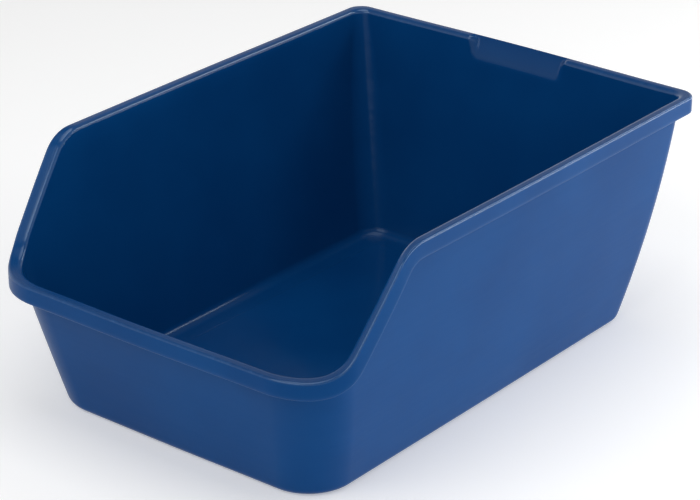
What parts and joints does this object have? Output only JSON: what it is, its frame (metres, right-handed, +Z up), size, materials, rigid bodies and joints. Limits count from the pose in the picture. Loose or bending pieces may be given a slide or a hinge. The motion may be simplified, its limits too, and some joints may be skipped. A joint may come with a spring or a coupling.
{
  "type": "litter pan",
  "caption": "Open high-sided litter pan with drafted walls, a low front entry between sloped sides, a down-turned rim and a hand grip in the back.",
  "frame": {"origin": "on the standing surface, under the centre of the overall outline", "axes": "+X to the right seen from the front, +Y from the low front entry to the high back, +Z up"},
  "size_m": [0.427, 0.579, 0.243],
  "materials": {
    "pan_plastic": "satin moulded polypropylene, royal blue"
  },
  "bodies": {
    "root": {"floor_panel": "pan_plastic", "foot_ring": "pan_plastic", "front_wall": "pan_plastic", "rear_wall": "pan_plastic", "left_wall": "pan_plastic", "right_wall": "pan_plastic", "front_rim": "pan_plastic", "rear_rim": "pan_plastic", "left_rim": "pan_plastic", "right_rim": "pan_plastic", "hand_grip": "pan_plastic"}
  },
  "joints": []
}
